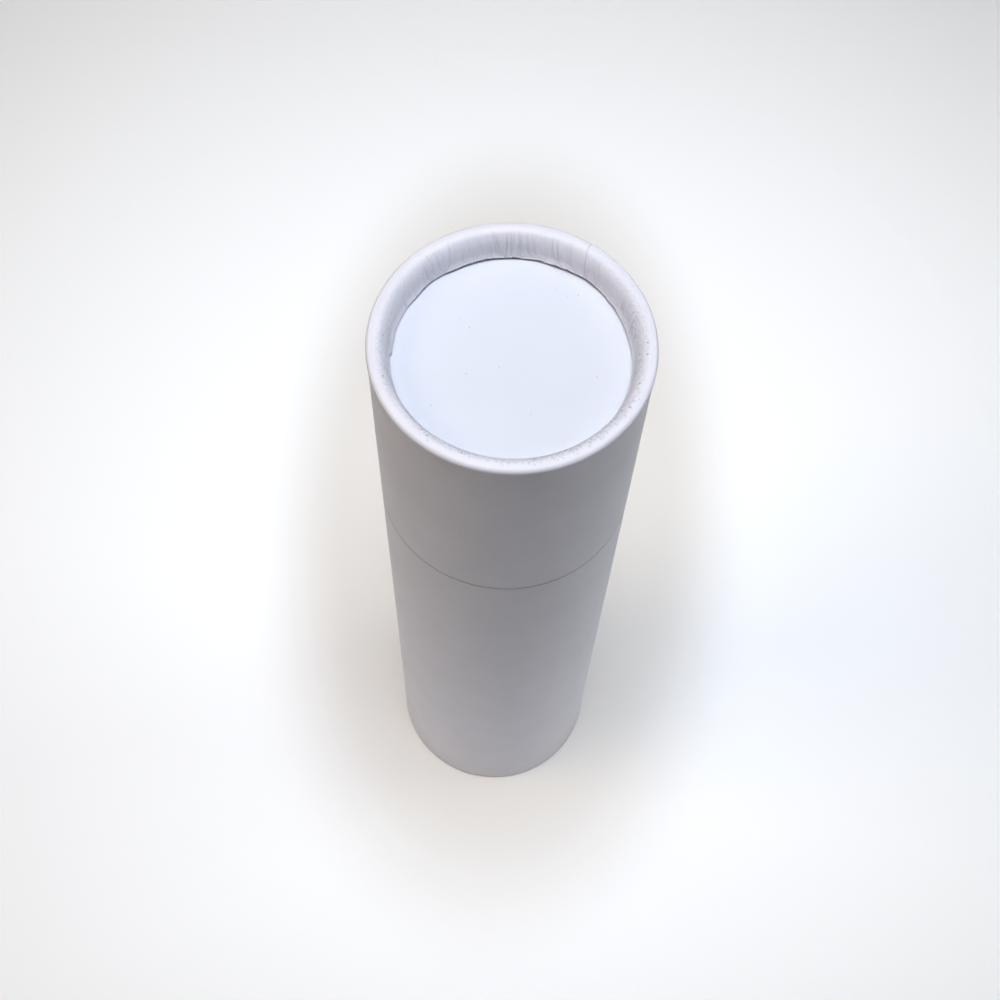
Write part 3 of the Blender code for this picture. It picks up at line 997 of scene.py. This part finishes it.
def build_cloth():
    """The cloth folded in panels and wound, as one closed sheet."""
    sizes = settings()[1]
    turns, section = roll_turns(), cloth_section()
    stations = ceil(turns * sizes.stations)
    gap = sizes.stack / sizes.panels
    end_room, foot_share, tape_dent, least_slack = 0.0003, 0.35, 0.0035, 0.45
    points, uvs = [], []
    run, last = 0, None
    for station in range(stations + 1):
        wound = -turns * tau * (1 - station / stations)
        base = BLANKET_RADIUS - sizes.stack + sizes.stack * wound / tau
        share_out = (base / BLANKET_RADIUS) ** 3
        line = []
        for layer, share_up, loop in section:
            at_top = share_up > 0.5
            fold = wander(wound * 1.3, round(layer * 2) * 3.7, 5.0 if at_top else 1.0)
            ragged = sizes.end_wander * (0.5 + 0.5 * fold)
            low = ROLL_LOW.z + end_room + foot_share * ragged
            high = ROLL_HIGH.z - end_room - ragged
            height = low + (high - low) * share_up
            height += (1 if at_top else -1) * loop * gap * 0.5
            radius = base + (layer + 0.5) * gap
            x, y = radius * cos(wound), radius * sin(wound)
            if share_up > 0.9:
                height -= tape_dent * tape_gap(x, y)
            bulge = 0.5 * wander(3 * cos(wound) + 7, 3 * sin(wound), height * 26)
            bulge += 0.5 * wander(x * 90, y * 90, height * 90 + 3) - least_slack
            line.append((radius + sizes.slack * share_out * bulge, height))
        line = np.array(line)
        if last is not None:
            run += (base + sizes.stack / 2) * (wound - last)
        last = wound
        outward, down = -left_of(line), run_along(line)
        for side in (0.5, -0.5):
            shifted = line + outward * sizes.cloth * side
            points += [(r * cos(wound), r * sin(wound), z) for r, z in shifted]
            uvs += [(run, v) for v in down]
    return closed_sheet("blanket_cloth", points, uvs, stations + 1, len(section))


def build_stitches(name, runs):
    """Stitches along straight runs of (start, end, outward); each is a short bowed thread.

    One stitch is shaped from a cylinder, and a copy of it is laid at each place.
    """
    sizes = settings()[1]
    thinning, sinking, spacing = 0.35, 0.8, 1.28
    radius = sizes.thread / 2
    deselect_all()
    bpy.ops.mesh.primitive_cylinder_add(
        vertices=8, radius=radius, depth=sizes.stitch, rotation=(0, pi / 2, 0), end_fill_type="NGON"
    )
    bpy.ops.object.transform_apply(location=False, rotation=True, scale=False)
    bpy.ops.object.mode_set(mode="EDIT")
    bpy.ops.mesh.select_all(action="SELECT")
    for share_along in (-0.34, 0, 0.34):
        bpy.ops.mesh.bisect(plane_co=(share_along * sizes.stitch, 0, 0), plane_no=(1, 0, 0))
        bpy.ops.mesh.select_all(action="SELECT")
    bpy.ops.object.mode_set(mode="OBJECT")
    model = bpy.context.object
    shape = coordinates(model)
    ends = np.abs(shape[:, 0]) / (sizes.stitch / 2)
    shape[:, 1:] *= (1 - thinning * smoothstep((ends - 0.6) / 0.4))[:, None]
    shape[:, 2] -= sinking * sizes.thread * smoothstep((ends - 0.35) / 0.65)
    place_vertices(model, shape)
    copies = []
    for start, end, outward in runs:
        start, end, up = Vector(start), Vector(end), Vector(outward).normalized()
        along = (end - start).normalized()
        number = max(1, round((end - start).length / (sizes.stitch * spacing)))
        for index in range(number):
            place = start.lerp(end, (index + 0.5) / number)
            turn = Matrix((along, up.cross(along), up)).transposed()
            copy = model.copy()
            copy.data = model.data.copy()
            copy.data.transform(Matrix.Translation(place) @ turn.to_4x4())
            bpy.context.scene.collection.objects.link(copy)
            copies.append(copy)
    bpy.data.objects.remove(model, do_unlink=True)
    deselect_all()
    for copy in copies:
        copy.select_set(True)
    bpy.context.view_layer.objects.active = copies[0]
    bpy.ops.object.join()
    piece = bpy.context.object
    piece.name = piece.data.name = name
    smooth(piece, 60)
    return piece


class TUBE_OT_blanket(bpy.types.Operator):
    """Folds and winds the glass cloth, and sews its hem"""

    bl_idname = "tube.blanket"
    bl_label = "Blanket"

    def execute(self, context):
        sizes = settings()[1]
        cloth = build_cloth()
        finish(cloth, glass_cloth_material(), "glass_cloth", "blanket", "blanket_roll")
        middle = (HEM_LOW + HEM_HIGH) / 2
        around = atan2(middle.y, middle.x)
        outward = Vector((cos(around), sin(around), 0))
        radius = BLANKET_RADIUS + sizes.stack * around / tau + 0.0001
        foot = outward * radius
        low, high = Vector((foot.x, foot.y, HEM_LOW.z)), Vector((foot.x, foot.y, HEM_HIGH.z))
        hem = build_stitches("hem_thread", [(low, high, outward)])
        finish(hem, thread_material(), "thread", "blanket", "hem_stitching")
        return {"FINISHED"}


def tape_path():
    """The right tape's loop in its own plane, as (distance across the roll, height) points.

    It leaves the roll, lies down across its end, turns back at the tip and goes in again.
    """
    sizes = settings()[1]
    clearance, bend = 0.00004, 0.0009
    root, tip = TAPE_HIGH.x, TAPE_LOW.x
    half = sizes.webbing / 2
    lower, upper = TAPE_LOW.z + half + clearance, TAPE_HIGH.z - half
    start = TAPE_LOW.z - sizes.tape_root
    turn = (upper - lower) / 2
    path = [(root + half, start)]
    path += arc(root + half - bend, lower - bend, bend, 0, 90, 6)
    path.append((tip + turn + half, lower))
    path += [
        (tip + turn + half - turn * sin(pi * step / 8), lower + turn - turn * cos(pi * step / 8))
        for step in range(1, 8)
    ]
    path.append((tip + turn + half, upper))
    outer_bend = bend + 2 * turn
    path += arc(root + half - bend, lower - bend, outer_bend, 90, 0, 8)
    path.append((root + half - bend + outer_bend, start))
    return path


def evenly(path, spacing):
    """(the same path with a point at every spacing, how far along it each of them lies)."""
    path = np.array(path)
    gone = run_along(path)
    places = np.linspace(0, gone[-1], ceil(gone[-1] / spacing) + 1)
    return np.stack([np.interp(places, gone, path[:, k]) for k in (0, 1)], axis=1), places


def selvedge(from_edge):
    """Thickness there, as a share of the webbing's: its sides are rounded off."""
    rounding = 0.0006
    if from_edge >= rounding:
        return 1.0
    return 0.45 + 0.55 * sqrt(max(0, 1 - (1 - from_edge / rounding) ** 2))


def build_tape(name, side):
    """A loop of ribbed webbing with rounded sides."""
    sizes = settings()[1]
    path, places = evenly(tape_path(), sizes.rib / 4)
    width = TAPE_HIGH.y - TAPE_LOW.y
    columns, sway_size = 22, 0.00018
    points, uvs = [], []
    for index, (place, out) in enumerate(zip(path, left_of(path))):
        rib = 0.5 + 0.5 * cos(tau * places[index] / sizes.rib)
        sway = sway_size * wander(index * 0.05, 4.0 * side, 2.0)
        for face in (1, -1):
            for column in range(columns + 1):
                share_across = column / columns
                from_edge = min(share_across, 1 - share_across) * width
                thick = sizes.webbing / 2 * (0.90 + 0.10 * rib) * selvedge(from_edge)
                y = TAPE_LOW.y + width * share_across + sway
                x, z = place + out * thick * face
                points.append((side * x, side * y, z))
                uvs.append((share_across * width, places[index]))
    return closed_sheet(name, points, uvs, len(path), columns + 1)


class TUBE_OT_pull_tapes(bpy.types.Operator):
    """Makes the two webbing loops and the sewn square that closes each"""

    bl_idname = "tube.pull_tapes"
    bl_label = "Pull tapes"

    def execute(self, context):
        webbing = webbing_material()
        thread = thread_material()
        inset, lift = 0.0004, 0.00012
        for name, side in (("left", -1), ("right", 1)):
            tape = build_tape(f"tape_{name}", side)
            finish(tape, webbing, "webbing", None, f"pull_tape_{name}")
            near, far = STITCH_HIGH.x - inset, STITCH_LOW.x + inset
            low, high = STITCH_LOW.y + inset, STITCH_HIGH.y - inset
            top = TAPE_HIGH.z + lift
            corners = [(near, low), (far, low), (far, high), (near, high)]
            ends = list(zip(corners, corners[1:] + corners[:1]))
            ends += [(corners[0], corners[2]), (corners[1], corners[3])]
            runs = [
                ((side * a[0], side * a[1], top), (side * b[0], side * b[1], top), (0, 0, 1))
                for a, b in ends
            ]
            sewing = build_stitches(f"tape_thread_{name}", runs)
            finish(sewing, thread, "thread", f"tape_{name}", f"tape_stitching_{name}")
            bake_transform(tape)
        return {"FINISHED"}


# Stage ------------------------------------------------------------------------------------------

def add_light(name, place, target, size, power, tint, spread=pi):
    light = bpy.data.lights.new(name, "AREA")
    light.shape = "RECTANGLE"
    light.size, light.size_y = size
    light.energy = power
    light.spread = spread
    light.color = tint
    lamp = bpy.data.objects.new(name, light)
    lamp.location = place
    lamp.rotation_euler = (Vector(target) - Vector(place)).to_track_quat("-Z", "Y").to_euler()
    bpy.context.scene.collection.objects.link(lamp)


class TUBE_OT_stage(bpy.types.Operator):
    """Lays the floor and sets the lights and the camera"""

    bl_idname = "tube.stage"
    bl_label = "Stage"

    def execute(self, context):
        sizes = settings()[3]
        deselect_all()
        bpy.ops.mesh.primitive_plane_add(size=sizes.floor_side, location=(0, 0, 0))
        floor = context.object
        floor.name = "floor"
        floor.data.materials.append(floor_material())

        middle = (0, 0, 0.15)
        add_light(
            "left", place=(-1.5, -0.35, 1.8), target=middle,
            size=(1.0, 0.75), power=10.9, tint=(1.0, 0.79, 0.525),
        )
        add_light(
            "right", place=(1.6, 0.3, 0.7), target=middle,
            size=(0.8, 0.8), power=4.8, tint=(0.95, 1.0, 0.975),
        )
        add_light(
            "top", place=(0, -0.05, 1.5), target=(0, 0.12, 0),
            size=(0.6, 0.6), power=1.93, tint=(0.862, 0.912, 1.0), spread=radians(50),
        )

        world = bpy.data.worlds.new("studio")
        world.use_nodes = True
        background = world.node_tree.nodes["Background"]
        background.inputs["Color"].default_value = (0.93, 0.96, 1.0, 1)
        background.inputs["Strength"].default_value = 0.03
        context.scene.world = world
        context.scene.view_settings.view_transform = "Standard"

        lens = bpy.data.cameras.new("camera")
        lens.sensor_width = 36
        lens.lens = sizes.camera_lens
        camera = bpy.data.objects.new("camera", lens)
        context.scene.collection.objects.link(camera)
        camera.matrix_world = (
            Matrix.Translation((0, -sizes.camera_back, sizes.camera_height))
            @ Matrix.Rotation(sizes.camera_yaw, 4, "Z")
            @ Matrix.Rotation(pi / 2 - sizes.camera_pitch, 4, "X")
            @ Matrix.Rotation(sizes.camera_roll, 4, "Z")
        )
        context.scene.camera = camera
        return {"FINISHED"}


class TUBE_PT_panel(bpy.types.Panel):
    """Lists the steps that make the fire blanket tube"""

    bl_idname = "TUBE_PT_panel"
    bl_label = "Fire Blanket Tube"
    bl_space_type = "VIEW_3D"
    bl_region_type = "UI"
    bl_category = "Blanket Tube"

    def draw(self, context):
        for operator in OPERATORS:
            self.layout.operator(operator.bl_idname)


OPERATORS = (
    TUBE_OT_stage,
    TUBE_OT_paper_wraps,
    TUBE_OT_boards,
    TUBE_OT_discs,
    TUBE_OT_blanket,
    TUBE_OT_pull_tapes,
)
GROUPS = (
    ("tube_sizes", TubeSettings),
    ("blanket_sizes", BlanketSettings),
    ("finish_colours", FinishSettings),
    ("stage_sizes", StageSettings),
)


def register():
    for name, group in GROUPS:
        bpy.utils.register_class(group)
        setattr(bpy.types.Scene, name, PointerProperty(type=group))
    for kind in (*OPERATORS, TUBE_PT_panel):
        bpy.utils.register_class(kind)


def unregister():
    for kind in (TUBE_PT_panel, *reversed(OPERATORS)):
        bpy.utils.unregister_class(kind)
    for name, group in reversed(GROUPS):
        delattr(bpy.types.Scene, name)
        bpy.utils.unregister_class(group)


def main():
    register()
    bpy.ops.tube.stage()
    bpy.ops.tube.paper_wraps()
    bpy.ops.tube.boards()
    bpy.ops.tube.discs()
    bpy.ops.tube.blanket()
    bpy.ops.tube.pull_tapes()


if __name__ == "__main__":
    main()
